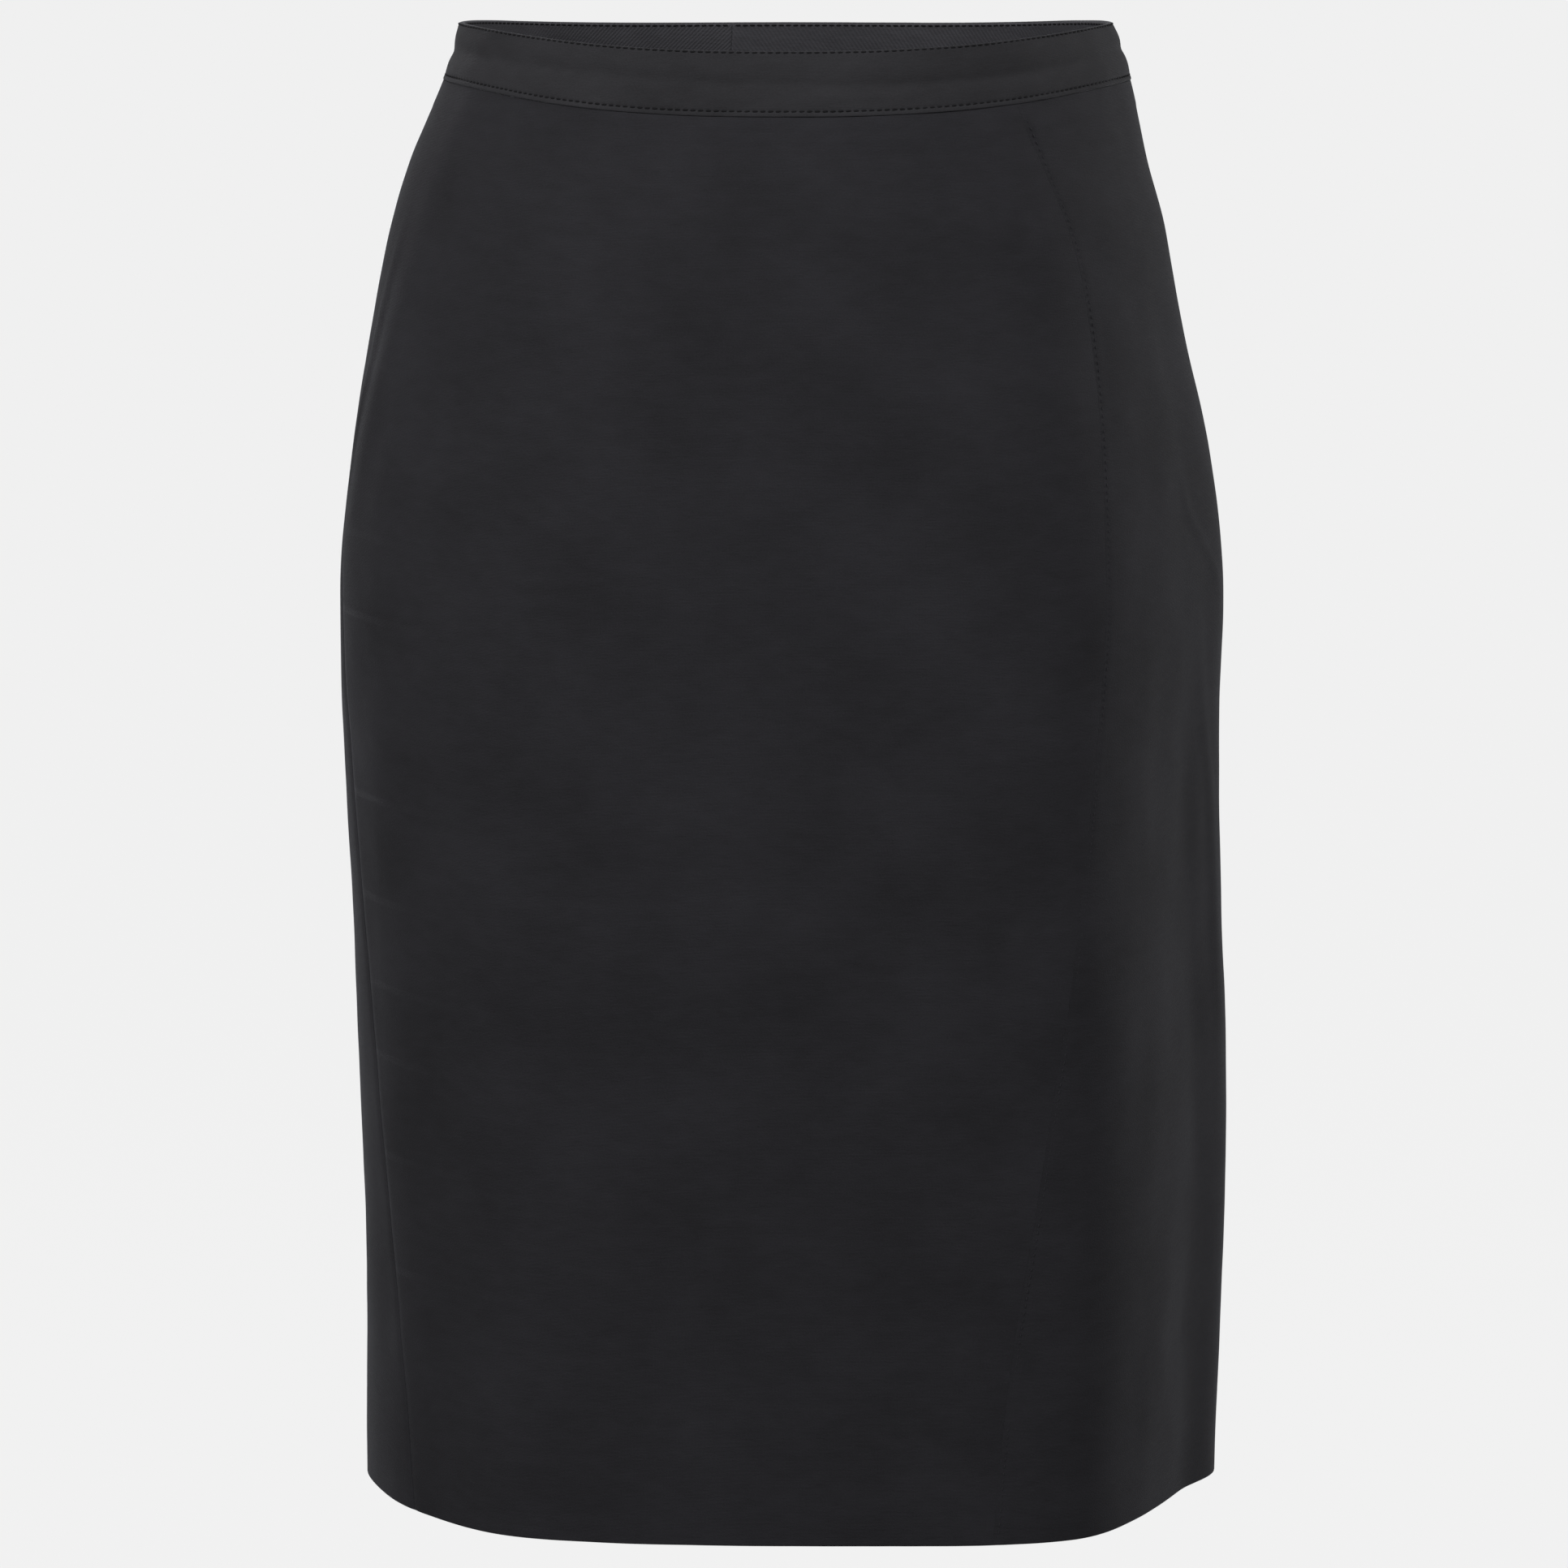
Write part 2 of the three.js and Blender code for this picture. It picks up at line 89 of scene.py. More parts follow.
SECTIONS = table(
    "drop left right front back",
    (0, 133.8, 135.1, 98, 96),
    (11, 136.2, 139.4, 101, 99),
    (24, 140.7, 143.2, 104, 103),
    (40, 147.9, 146.9, 108, 108),
    (58, 155.4, 150.9, 112, 114),
    (85, 163.5, 158.1, 116.5, 121),
    (125, 171.6, 165.6, 120, 128),
    (176, 180, 177.3, 121.5, 134),
    (228, 185.6, 183.7, 122, 136.5),
    (296, 185.1, 183, 122, 134),
    (366, 182.4, 184.5, 121.5, 128.5),
    (436, 180.1, 187.5, 120.5, 122),
    (507, 178.1, 187.4, 119.5, 116),
    (578, 178.2, 185.5, 118.5, 111),
    (LENGTH, 178.5, 184.5, 118, 109),
)


def quarter_plan(*rows):
    """A quarter of the ring seen from above, with a row more at either end so that it runs on smoothly."""
    before = (-rows[1][0], -rows[1][1], rows[1][2])
    after = (180 - rows[-2][0], rows[-2][1], -rows[-2][2])
    return table("turn across depth", before, *rows, after)


PLAN = {
    "waist": quarter_plan(
        (0, 0, 1), (15, 0.235, 0.985), (30, 0.455, 0.915), (45, 0.65, 0.77),
        (60, 0.805, 0.565), (75, 0.928, 0.31), (90, 1, 0),
    ),
    "hem_left": quarter_plan(
        (0, 0, 1), (15, 0.22, 0.985), (30, 0.44, 0.95), (45, 0.65, 0.86),
        (60, 0.8, 0.67), (75, 0.925, 0.395), (90, 1, 0),
    ),
    "hem_right": quarter_plan(
        (0, 0, 1), (15, 0.235, 1), (30, 0.46, 0.99), (45, 0.67, 0.9),
        (60, 0.803, 0.645), (75, 0.912, 0.285), (90, 1, 0),
    ),
    "back": quarter_plan(
        (0, 0, 1), (15, 0.245, 0.98), (30, 0.475, 0.905), (45, 0.68, 0.765),
        (60, 0.84, 0.555), (75, 0.95, 0.295), (90, 1, 0),
    ),
}
PLAN_CHANGE = (0, 420)
SLOPE_STEP = 0.4
HALVINGS = 30

LEFT_SEAM = table(
    "drop turn",
    (0, -95), (150, -90), (275, -84.5), (400, -79.4), (473, -76.2), (521, -73.6), (559, -70.8),
    (LENGTH, -67.6),
)
RIGHT_SEAM = table("drop turn", (0, 97), (230, 99), (LENGTH, 103))
BACK_SEAM = table("drop turn", (0, 190), (LENGTH, 185))
STYLE_SEAM = table(
    "drop across",
    (0, 81), (27, 92.5), (52, 103.5), (84, 116.3), (119, 123.7), (163, 128.1), (211, 129.9), (248, 129.6),
    (288, 126.2), (329, 122.5), (389, 115.8), (437, 108.5), (485, 101.6), (530, 94.5), (570, 89.7),
    (LENGTH, 85.8),
)

# The largest soft folds: start turn and drop, end turn and drop, width, height
FOLDS = [
    (26, 60, 4, 330, 34, -1.6),
    (36, 90, 24, 420, 46, 1.2),
    (-74, 90, -84, 215, 10, 1.4),
    (76, 180, 80, 500, 9, 1.2),
    (62, 170, 66, 400, 16, -0.5),
    (69, 440, 66, 612, 14, 0.8),
    (-62, 420, -56, 615, 20, -1.5),
    (-128, 200, -120, 610, 30, -2),
    (136, 230, 128, 600, 28, -1.8),
    (172, 260, 168, 600, 40, 1.4),
]

# The skirt's surface


def mix(start, end, share):
    return start + (end - start) * share


def smoothstep(value, low, high):
    share = np.clip((value - low) / (high - low), 0, 1)
    return share * share * (3 - 2 * share)


def along(rows, key, column, at):
    """A column's value in a table, on a smooth curve through its rows."""
    keys, values = rows[key], rows[column]
    last = len(keys) - 1
    place = np.clip(at, keys[0], keys[last])
    row = np.searchsorted(keys[1:last], place, side="left")
    span = keys[row + 1] - keys[row]

    def slope(index):
        before = np.maximum(index - 1, 0)
        after = np.minimum(index + 1, last)
        return (values[after] - values[before]) / (keys[after] - keys[before]) * span

    t = (place - keys[row]) / span
    bend = t * t * (3 - 2 * t)
    lead = t * (1 - t) ** 2 * slope(row)
    tail = t * t * (1 - t) * slope(row + 1)
    return mix(values[row], values[row + 1], bend) + lead - tail


def faces_front(turn):
    return np.cos(np.radians(turn)) > 0


def faces_right(turn):
    return np.sin(np.radians(turn)) > 0


def side_share(turn, power):
    return np.abs(np.sin(np.radians(turn))) ** power


def plan_share(column, turn, drop):
    """The ring's share of half width or of depth at a turn."""
    sine = np.minimum(1, np.abs(np.sin(np.radians(turn))))
    quarter = np.degrees(np.arcsin(sine))
    share = {name: along(rows, "turn", column, quarter) for name, rows in PLAN.items()}
    hem = np.where(faces_right(turn), share["hem_right"], share["hem_left"])
    front = mix(share["waist"], hem, smoothstep(drop, *PLAN_CHANGE))
    return np.where(faces_front(turn), front, share["back"])


def ring_point(turn, drop):
    turn, drop = np.broadcast_arrays(turn, drop)
    half = {name: along(SECTIONS, "drop", name, drop) for name in ("left", "right", "front", "back")}
    across = plan_share("across", turn, drop)
    depth = plan_share("depth", turn, drop)
    x = np.where(faces_right(turn), across * half["right"], -across * half["left"])
    y = np.where(faces_front(turn), -depth * half["front"], depth * half["back"])
    return np.stack([x, y, -drop], axis=-1)


def unit(vectors):
    return vectors / np.linalg.norm(vectors, axis=-1, keepdims=True)


def outward(surface, turn, drop):
    around = surface(turn + SLOPE_STEP, drop) - surface(turn - SLOPE_STEP, drop)
    down = surface(turn, drop + SLOPE_STEP) - surface(turn, drop - SLOPE_STEP)
    return unit(np.cross(down, around))


def millimetres_per_degree(turn, drop):
    return np.linalg.norm(ring_point(turn + 0.5, drop) - ring_point(turn - 0.5, drop), axis=-1)


def turned_by(turn, start):
    """The angle from a start to a turn, from -180 to 180."""
    return (turn - start + 180) % 360 - 180


def fold_lift(turn, drop):
    scale = millimetres_per_degree(turn, drop)
    lift = np.zeros(np.shape(scale))
    for start_turn, start_drop, end_turn, end_drop, width, height in FOLDS:
        run = np.clip((drop - start_drop) / (end_drop - start_drop), 0, 1)
        away = turned_by(turn, mix(start_turn, end_turn, run)) * scale
        lift += height * np.sin(np.pi * run) * np.exp(-((away / width) ** 2))
    return lift


def skirt_point(turn, drop):
    lift = fold_lift(turn, drop)
    return ring_point(turn, drop) + outward(ring_point, turn, drop) * lift[..., None]


def top_edge(turn):
    front, back = TOP_DIP["front"], TOP_DIP["back"]
    front_dip = front[0] * (1 - side_share(turn, front[1]))
    back_dip = back[0] * (1 - side_share(turn, back[1]))
    return np.where(faces_front(turn), front_dip, back_dip)


def band_height(turn):
    middle = np.where(faces_front(turn), BAND["middle"], BAND["back"])
    return mix(middle, BAND["side"], side_share(turn, BAND_POWER))


def band_seam(turn):
    return top_edge(turn) + band_height(turn)


def left_seam(drop):
    return along(LEFT_SEAM, "drop", "turn", drop)


def right_seam(drop):
    return along(RIGHT_SEAM, "drop", "turn", drop)


def back_seam(drop):
    return along(BACK_SEAM, "drop", "turn", drop)


def back_seam_before(drop):
    return back_seam(drop) - 360


def style_seam(drop):
    """The turn at which the front ring reaches the curved seam."""
    across = along(STYLE_SEAM, "drop", "across", drop)
    low, high = np.zeros(np.shape(drop)), np.full(np.shape(drop), 90.0)
    for _ in range(HALVINGS):
        middle = (low + high) / 2
        short = ring_point(middle, drop)[..., 0] < across
        low = np.where(short, middle, low)
        high = np.where(short, high, middle)
    return low


# Small relief that lies on the surface, in millimetres

WALL = 1.2
HEM_WALL = 2.0
BAND_WALL = 2.8
ALLOWANCE_WALL = 0.7
LEDGE_WALL = 0.6
SEAM_ROUND = 0.45
LAP_ROUND = 0.06
SEAM_HOLLOW = 0.3
SEAM_HOLLOW_WIDTH = 2.5
SEAM_ALLOWANCE = 12
BAND_ALLOWANCE = 10.5
LEDGE_LIFT = 0.16
TURN_UP_LIFT = 0.03
STYLE_STITCH = 2
STITCH_DIMPLE = 0.04
STITCH_DIMPLE_WIDTH = 0.5
LAP_RIDGE = 0.07
LAP_RIDGE_PLACE = 4.2
LAP_RIDGE_WIDTH = 1.8
WAVE_COUNT = 16
WAVE_SPREAD = (0.7, 1.7)


def rounding(distance, radius):
    """How far a rounded edge has fallen back at a distance from it."""
    inside = np.clip(1 - distance / radius, 0, 1)
    return radius * (1 - np.sqrt(1 - inside * inside))


def within(distance, reach, soft):
    """1 up to a reach, then 0, with a soft step."""
    return 1 - smoothstep(distance, reach - soft, reach + soft)


def bump(distance, width):
    return np.exp(-((distance / width) ** 2))


def waves(points, size, seed):
    """A smooth uneven value about 0, from seeded waves in all directions."""
    draw = np.random.default_rng(seed)
    directions = unit(draw.normal(size=(WAVE_COUNT, 3)))
    numbers = 2 * np.pi / (size * draw.uniform(*WAVE_SPREAD, WAVE_COUNT))
    phases = draw.uniform(0, 2 * np.pi, WAVE_COUNT)
    total = np.zeros(points.shape[:-1])
    for direction, number, phase in zip(directions, numbers, phases):
        total += np.sin(points @ direction * number + phase)
    return total / np.sqrt(WAVE_COUNT)


def uneven(points, rows):
    """The sum of waves, each given as its height, size and seed."""
    return sum(height * waves(points, size, seed) for height, size, seed in rows)


# Finer creases than the solids have, and two broad ones that soften their ridges on the right:
# turns and drops along each, width, height
CREASES = [
    ([74.5, 75.5, 83.5, 86], [180, 200, 226, 245], 3.5, 0.5),
    ([77, 80.8, 83.8, 84.5, 84], [235, 293, 329, 409, 470], 4, 0.6),
    ([76, 80], [180, 500], 9, -0.55),
    ([69, 66], [440, 612], 14, -0.45),
    ([68.5, 65, 70.5], [505, 538, 592], 8, 0.35),
    ([75, 73.5, 75.5], [500, 540, 585], 6, -0.35),
    ([46.6, 48.2], [36, 50], 2.6, -0.5),
    ([-79.5, -82, -86, -88.5], [70, 114, 170, 210], 2.6, 0.75),
    ([108, 104, 103], [120, 200, 290], 6, 0.6),
    ([-104, -101, -99], [130, 200, 300], 6, 0.6),
    ([158, 152, 150], [420, 500, 600], 12, -0.8),
    ([-160, -155, -152], [380, 480, 590], 13, 0.8),
    ([-118, -112, -110], [430, 520, 605], 9, 0.6),
]


def crease_lift(turn, drop):
    scale = millimetres_per_degree(turn, drop)
    lift = np.zeros(np.shape(scale))
    for turns, drops, width, height in CREASES:
        line = table("drop turn", *zip(drops, turns))
        run = np.clip((drop - drops[0]) / (drops[-1] - drops[0]), 0, 1)
        away = turned_by(turn, along(line, "drop", "turn", drop)) * scale
        lift += height * np.sin(np.pi * run) * bump(away, width)
    return lift


DART_WIDTH = 0.9
DART_SWELL = 0.12
DART_SWELL_WIDTH = 3
DART_FADE = 0.25

# Darts: turn at the top, turn at the tip, drop of the tip, depth
DARTS = [
    (-30.5, -31, 48, 0.35),
    (151, 148, 138, 0.4),
    (-151, -148, 138, 0.4),
]


def dart_lift(turn, drop):
    scale = millimetres_per_degree(turn, drop)
    lift = np.zeros(np.shape(scale))
    for top_turn, tip_turn, tip_drop, depth in DARTS:
        run = np.clip((drop - BAND["middle"]) / (tip_drop - BAND["middle"]), 0, 1)
        away = np.abs(turned_by(turn, mix(top_turn, tip_turn, run))) * scale
        fading = smoothstep(1 - run, 0, DART_FADE)
        lift -= depth * fading * bump(away, DART_WIDTH)
        lift += DART_SWELL * fading * bump(away - DART_SWELL_WIDTH, DART_SWELL_WIDTH)
    return lift


# Meshes


def write_mesh(name, points, faces, uvs, materials, face_materials=None):
    mesh = bpy.data.meshes.new(name)
    mesh.vertices.add(len(points))
    mesh.vertices.foreach_set("co", (points * MM).astype(np.float32).ravel())
    corners = np.concatenate([block.ravel() for block in faces])
    totals = np.concatenate([np.full(len(block), len(block[0])) for block in faces])
    starts = np.concatenate([[0], np.cumsum(totals)[:-1]])
    mesh.loops.add(len(corners))
    mesh.loops.foreach_set("vertex_index", corners.astype(np.int32))
    mesh.polygons.add(len(totals))
    mesh.polygons.foreach_set("loop_start", starts.astype(np.int32))
    layer = mesh.uv_layers.new(name="cloth")
    layer.data.foreach_set("uv", (uvs[corners] * MM).astype(np.float32).ravel())
    for material in materials:
        mesh.materials.append(material)
    if face_materials is not None:
        mesh.polygons.foreach_set("material_index", face_materials.astype(np.int32))
    mesh.update(calc_edges=True)
    mesh.validate()
    mesh.shade_smooth()
    obj = bpy.data.objects.new(name, mesh)
    bpy.context.collection.objects.link(obj)
    return obj


def shell(name, outside, inside, uvs, materials):
    """A closed wall between two grids of points, whose rows run down and columns run to the right."""
    rows, columns = outside.shape[:2]
    outer = np.arange(rows * columns).reshape(rows, columns)
    inner = outer + rows * columns

    def quads(a, b, c, d):
        return np.stack([a, b, c, d], axis=-1).reshape(-1, 4)

    outer_faces = quads(outer[:-1, :-1], outer[1:, :-1], outer[1:, 1:], outer[:-1, 1:])
    inner_faces = quads(inner[:-1, :-1], inner[:-1, 1:], inner[1:, 1:], inner[1:, :-1])
    rims = [
        quads(outer[1:, 0], outer[:-1, 0], inner[:-1, 0], inner[1:, 0]),
        quads(outer[:-1, -1], outer[1:, -1], inner[1:, -1], inner[:-1, -1]),
        quads(outer[0, :-1], outer[0, 1:], inner[0, 1:], inner[0, :-1]),
        quads(outer[-1, 1:], outer[-1, :-1], inner[-1, :-1], inner[-1, 1:]),
    ]
    faces = np.concatenate([outer_faces, inner_faces, *rims])
    points = np.concatenate([outside.reshape(-1, 3), inside.reshape(-1, 3)])
    flat = np.concatenate([uvs.reshape(-1, 2), uvs.reshape(-1, 2)])
    face_materials = np.zeros(len(faces))
    face_materials[len(outer_faces):len(outer_faces) + len(inner_faces)] = 1
    return write_mesh(name, points, [faces], flat, materials, face_materials)


ROD_SIDES = 6
ROD_RINGS = 4
ROD_TIP = (0.1, 0.6)


def rod_points(length, radius):
    """One round-ended rod along x: a tip, four rings and the other tip."""
    half = length / 2
    inset, narrow = ROD_TIP
    rings = [(-half + inset * radius, narrow), (-half + radius, 1)]
    rings += [(half - radius, 1), (half - inset * radius, narrow)]
    points = [(-half, 0, 0)]
    for place, share in rings:
        for angle in np.arange(ROD_SIDES) * 2 * np.pi / ROD_SIDES:
            points.append((place, share * radius * np.cos(angle), share * radius * np.sin(angle)))
    points.append((half, 0, 0))
    return np.array(points)


def rod_faces():
    """One rod's triangles at its tips and quads between its rings."""
    tip = 1 + ROD_RINGS * ROD_SIDES
    triangles, quads = [], []
    for side in range(ROD_SIDES):
        following = (side + 1) % ROD_SIDES
        triangles.append((0, 1 + following, 1 + side))
        triangles.append((tip, tip - ROD_SIDES + side, tip - ROD_SIDES + following))
        for ring in range(ROD_RINGS - 1):
            start = 1 + ring * ROD_SIDES
            end = start + ROD_SIDES
            quads.append((start + side, start + following, end + following, end + side))
    return triangles, quads


def capsules(name, centres, along_it, out, length, radius, material):
    """Many small round-ended rods joined in one piece, each along its own direction."""
    across = unit(np.cross(out, along_it))
    up = unit(np.cross(along_it, across))
    local = rod_points(length, radius)
    points = (
        centres[:, None]
        + local[None, :, 0, None] * along_it[:, None]
        + local[None, :, 1, None] * across[:, None]
        + local[None, :, 2, None] * up[:, None]
    )
    shift = (np.arange(len(centres)) * len(local))[:, None, None]
    blocks = [(np.array(part)[None] + shift).reshape(-1, len(part[0])) for part in rod_faces()]
    uvs = np.tile(local[:, :2], (len(centres), 1))
    return write_mesh(name, points.reshape(-1, 3), blocks, uvs, [material])


# Materials

THREAD_WAVER = 0.6


class Nodes:
    """A material's nodes, with short ways to add them."""

    def __init__(self, name):
        self.material = bpy.data.materials.new(name)
        self.material.use_nodes = True
        self.tree = self.material.node_tree
        self.shader = self.tree.nodes["Principled BSDF"]

    def add(self, kind, **sockets):
        node = self.tree.nodes.new(kind)
        for name, value in sockets.items():
            self.put(node, name.replace("_", " "), value)
        return node

    def put(self, node, name, value):
        socket = node.inputs[name]
        if isinstance(value, bpy.types.NodeSocket):
            self.tree.links.new(value, socket)
        else:
            socket.default_value = value

    def flat_place(self, stretch):
        """The place on the flat cloth in metres, scaled across and down."""
        place = self.add("ShaderNodeTexCoord").outputs["UV"]
        return self.add("ShaderNodeMapping", Vector=place, Scale=(*stretch, 1)).outputs["Vector"]

    def noise(self, stretch, detail=2.0):
        """Noise whose patches are 1 / stretch metres across and down."""
        vector = self.flat_place(stretch)
        return self.add("ShaderNodeTexNoise", Vector=vector, Scale=1.0, Detail=detail).outputs["Fac"]

    def threads(self, stretch, slant, direction):
        vector = self.flat_place(stretch)
        turned = self.add("ShaderNodeMapping", Vector=vector, Rotation=(0, 0, np.radians(slant)))
        place = turned.outputs["Vector"]
        node = self.add("ShaderNodeTexWave", Vector=place, Scale=1.0, Distortion=THREAD_WAVER)
        node.bands_direction = direction
        return node.outputs["Fac"]

    def maths(self, operation, first, second):
        node = self.tree.nodes.new("ShaderNodeMath")
        node.operation = operation
        for socket, value in zip(node.inputs, (first, second)):
            if isinstance(value, bpy.types.NodeSocket):
                self.tree.links.new(value, socket)
            else:
                socket.default_value = value
        return node.outputs[0]

    def ramp(self, value, start, swing):
        """Start where the value is 0, and higher by the swing where it is 1."""
        return self.maths("ADD", start, self.maths("MULTIPLY", value, swing))

    def total(self, *parts):
        """A half, moved up and down by values about a half, each with its weight."""
        result = 0.5
        for value, weight in parts:
            swing = self.maths("MULTIPLY", self.maths("SUBTRACT", value, 0.5), weight)
            result = self.maths("ADD", result, swing)
        return result

    def blend_colours(self, share, first, second):
        node = self.tree.nodes.new("ShaderNodeMix")
        node.data_type = "RGBA"
        self.tree.links.new(share, node.inputs["Factor"])
        colours = [socket for socket in node.inputs if socket.type == "RGBA"]
        for socket, value in zip(colours, (first, second)):
            socket.default_value = (*value, 1)
        return [socket for socket in node.outputs if socket.type == "RGBA"][0]

    def bumps(self, height, distance):
        node = self.add("ShaderNodeBump", Height=height, Distance=distance)
        self.tree.links.new(node.outputs["Normal"], self.shader.inputs["Normal"])

    def finish(self, values):
        """Gives the shader its values and returns the material."""
        for name, value in values.items():
            self.put(self.shader, name, value)
        return self.material


# Noise in the cloth: patches in a metre across and down, detail, weight in the colour
CLOTH_NOISE = {
    "slub": ((180, 900), 3.0, 0.75),
    "grain": ((1300, 1900), 1.0, 1.1),
    "blotch": ((90, 210), 2.0, 0.6),
    "cloud": ((15, 19), 3.0, 1.6),
}
SLUB_HEIGHT = 0.55
GRAIN_HEIGHT = 0.45
PLAIN_HEIGHT = 0.25
TWILL_HEIGHT = 0.45
CLOTH_RELIEF = 0.00022
THREAD_RELIEF = 0.00005
METAL_RELIEF = 0.00003


def plain_weave(nodes):
    weft = nodes.threads((160, 700), 0, "Y")
    warp = nodes.threads((700, 160), 0, "X")
    return nodes.maths("MULTIPLY", weft, warp), PLAIN_HEIGHT


def twill_weave(nodes):
    return nodes.threads((240, 240), -45, "X"), TWILL_HEIGHT


def cloth_material(name, dark, light, sheen=0.14, weave=plain_weave):
    nodes = Nodes(name)
    noise = {part: nodes.noise(stretch, detail) for part, (stretch, detail, _) in CLOTH_NOISE.items()}
    uneven_shade = nodes.total(*[(noise[part], weight) for part, (_, _, weight) in CLOTH_NOISE.items()])
    heights = [(noise["slub"], SLUB_HEIGHT), (noise["grain"], GRAIN_HEIGHT), weave(nodes)]
    nodes.bumps(nodes.total(*heights), CLOTH_RELIEF)
    return nodes.finish({
        "Base Color": nodes.blend_colours(uneven_shade, dark, light),
        "Roughness": nodes.ramp(noise["slub"], 0.78, 0.2),
        "Specular IOR Level": 0.2,
        "Sheen Weight": sheen,
        "Sheen Roughness": 0.25,
        "Sheen Tint": (0.9, 0.92, 1.0, 1.0),
    })


def thread_material(name, colour, roughness):
    nodes = Nodes(name)
    fuzz = nodes.noise((2500, 2500))
    fuzzy_colour = tuple(1.6 * value for value in colour)
    nodes.bumps(nodes.threads((900, 900), 35, "X"), THREAD_RELIEF)
    return nodes.finish({
        "Base Color": nodes.blend_colours(fuzz, colour, fuzzy_colour),
        "Roughness": nodes.ramp(fuzz, roughness, 0.15),
        "Specular IOR Level": 0.12,
    })


def metal_material(name):
    nodes = Nodes(name)
    vector = nodes.add("ShaderNodeTexCoord").outputs["Object"]
    wear = nodes.add("ShaderNodeTexNoise", Vector=vector, Scale=900.0, Detail=3.0).outputs["Fac"]
    nodes.bumps(wear, METAL_RELIEF)
    return nodes.finish({
        "Base Color": nodes.blend_colours(wear, (0.016, 0.016, 0.018), (0.03, 0.03, 0.033)),
        "Roughness": nodes.ramp(wear, 0.28, 0.2),
        "Metallic": 0.55,
    })


CLOTH = cloth_material("black_cloth", (0.0088, 0.0085, 0.0102), (0.0168, 0.0164, 0.0196))
BAND_CLOTH = cloth_material("black_band_cloth", (0.0115, 0.0112, 0.0127), (0.0215, 0.0211, 0.0237))
CLOTH_BACK = cloth_material("black_cloth_inside", (0.012, 0.0118, 0.0135), (0.018, 0.0178, 0.0202), 0.08)
# The waistband's inside: black twill, given a colour two to three times as light as the outside cloth.
# This is painted light, standing in for the light its shaded inside does not get.
BAND_BACK_PAINTED_LIGHT = cloth_material(
    "black_band_twill_painted_light", (0.032, 0.0314, 0.0355), (0.052, 0.0512, 0.0576), 0.1, twill_weave
)
TAPE = cloth_material("black_zip_tape", (0.010, 0.010, 0.011), (0.018, 0.018, 0.0195), 0.05, twill_weave)
# The waistband's black thread, made darker than the cloth: partly its own black, partly painted shade, so
# that its stitches read as dark dashes sunk in shade.
BAND_THREAD_PAINTED_SHADE = thread_material("black_band_thread_painted_shade", (0.005, 0.0049, 0.0055), 0.8)
# The curved seam's black thread, lighter than the waistband's thread: painted sheen, standing in for the
# sheen its shader lacks, so that it reads as light as the cloth beside it.
SEAM_THREAD_PAINTED_SHEEN = thread_material("black_seam_thread_painted_sheen", (0.0165, 0.0161, 0.0184), 0.8)
COIL_NYLON = thread_material("black_nylon", (0.010, 0.010, 0.011), 0.35)
SATIN_METAL = metal_material("black_satin_metal")

# Panels: distances of the grid's lines from a seam, the top and the hem, closer at edges and ledges

EDGE_STEPS = [0, 0.08, 0.2, 0.4, 0.7, 1.2, 1.8, 2.2, 2.6, 3.2, 4, 5, 6.5, 8.2, 10, 11.2, 12, 12.8, 14, 16]
TOP_STEPS = [0, 0.08, 0.2, 0.4, 0.7, 1.2, 2, 3, 4.5, 6, 8, 9.3, 9.9, 10.5, 11.1, 11.7, 13, 15]
TURN_UP_STEPS = [39, 37.4, 36.6, 36, 35.4, 34.6, 33]
HEM_STEPS = [8, 5.5, 3.8, 2.6, 1.7, 1, 0.6, 0.3, 0.1, 0]
CLOTH_STEP = 3
TOP_GAP = 0.15
TOP_ROUNDS = 4
ALLOWANCE_SOFT = 0.5
LEDGE_SOFT = 1.4
TURN_UP_SOFT = 0.8
CLOTH_WAVES = [(0.16, 42, 11), (0.035, 13, 12)]


def middle_steps(first, last):
    count = max(2, round((last - first) / CLOTH_STEP))
    return list(np.linspace(first, last, count + 1)[1:-1])


def column_shares(width):
    steps = EDGE_STEPS + middle_steps(EDGE_STEPS[-1], width - EDGE_STEPS[-1])
    steps += [width - step for step in reversed(EDGE_STEPS)]
    return np.array(steps) / width


def row_shares(height):
    steps = TOP_STEPS + middle_steps(TOP_STEPS[-1], height - TURN_UP_STEPS[0])
    steps += [height - step for step in TURN_UP_STEPS]
    steps += middle_steps(height - TURN_UP_STEPS[-1], height - HEM_STEPS[0])
    steps += [height - step for step in HEM_STEPS]
    return np.array(steps) / height


def travelled(points, axis):
    """The distance run along a grid's rows or columns, from its first edge."""
    steps = np.linalg.norm(np.diff(points, axis=axis), axis=-1)
    return np.insert(np.cumsum(steps, axis=axis), 0, 0, axis=axis)


def panel_grid(first_seam, last_seam):
    """Turns and drops of a panel's points, from the band's seam to the hem."""
    middle = np.array(LENGTH / 2)
    width = millimetres_per_degree(0.0, middle) * (last_seam(middle) - first_seam(middle))
    shares = column_shares(float(width))
    top = np.full(len(shares), BAND["middle"])
    for _ in range(TOP_ROUNDS):
        top = band_seam(mix(first_seam(top), last_seam(top), shares)) + TOP_GAP
    rows = row_shares(LENGTH - BAND["middle"])
    drop = mix(top[None], LENGTH, rows[:, None])
    turn = mix(first_seam(drop), last_seam(drop), shares[None])
    return turn, drop


def seam_round(seam):
    return LAP_ROUND if seam is style_seam else SEAM_ROUND


def seam_lift(seam, distance):
    """A plain seam lies in a shallow hollow. The curved one is flush."""
    return 0 if seam is style_seam else -SEAM_HOLLOW * bump(distance, SEAM_HOLLOW_WIDTH)


